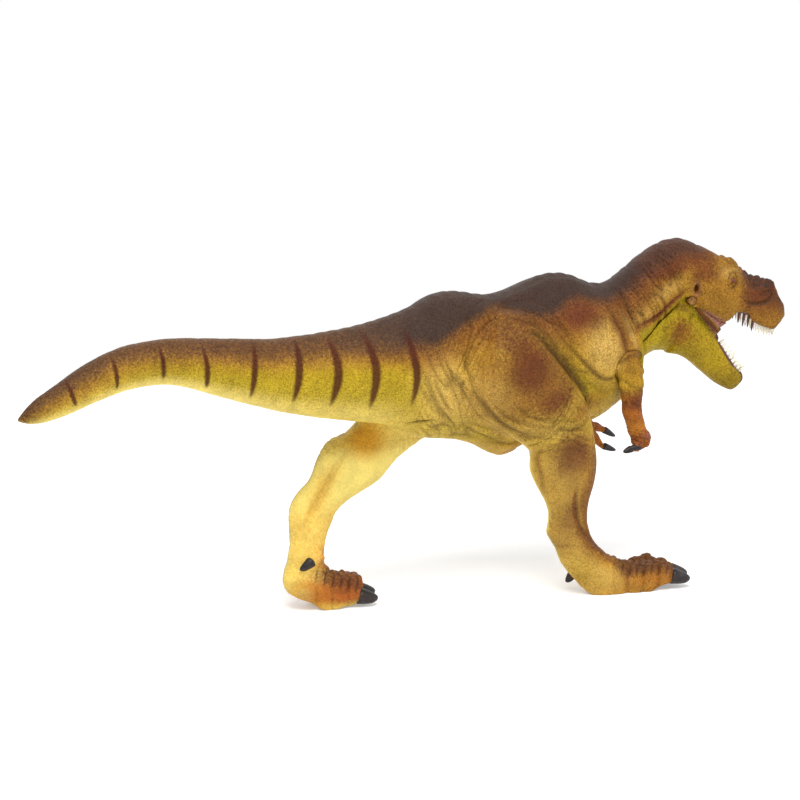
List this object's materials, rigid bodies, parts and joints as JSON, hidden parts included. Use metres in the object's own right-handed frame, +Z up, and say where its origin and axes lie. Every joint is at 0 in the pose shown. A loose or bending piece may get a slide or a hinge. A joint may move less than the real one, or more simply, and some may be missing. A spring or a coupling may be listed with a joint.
{
  "type": "toy dinosaur figure",
  "caption": "Striding two-legged toy dinosaur with a long level tail, turned head and wide open hinged jaw.",
  "frame": {"origin": "middle of the bounding box's footprint, on the ground under the soles", "axes": "+X ahead along the body towards the nose, +Y to the figure's left, +Z up"},
  "size_m": [0.295, 0.0494, 0.1296],
  "materials": {
    "skin": "painted, finely pebbled, satin",
    "pale_skin": "painted, finely pebbled, satin",
    "orange_skin": "painted, finely pebbled, satin",
    "teeth": "smooth, ivory paint over dark gums",
    "pin": "smooth"
  },
  "bodies": {
    "body": {"torso": "skin", "tail": "skin", "head": "skin", "upper_teeth": "teeth", "jaw_pin": "pin", "right_leg": "skin", "left_leg": "pale_skin"},
    "jaw": {"lower_jaw": "pale_skin", "lower_teeth": "teeth"},
    "arm_right": {"right_arm": "orange_skin"},
    "arm_left": {"left_arm": "orange_skin"}
  },
  "joints": [
    {"name": "jaw_hinge", "type": "hinge", "parent": "body", "child": "jaw", "pos_m": [0.10889, -0.00295, 0.10776], "axis": [-0.1736, -0.9848, 0], "range_deg": [0, 24]},
    {"name": "right_shoulder", "type": "hinge", "parent": "body", "child": "arm_right", "pos_m": [0.07934, -0.0135, 0.0858], "axis": [0, -1, 0], "range_deg": [-8, 40]},
    {"name": "left_shoulder", "type": "hinge", "parent": "body", "child": "arm_left", "pos_m": [0.07934, 0.0135, 0.0858], "axis": [0, -1, 0], "range_deg": [-8, 40]}
  ]
}
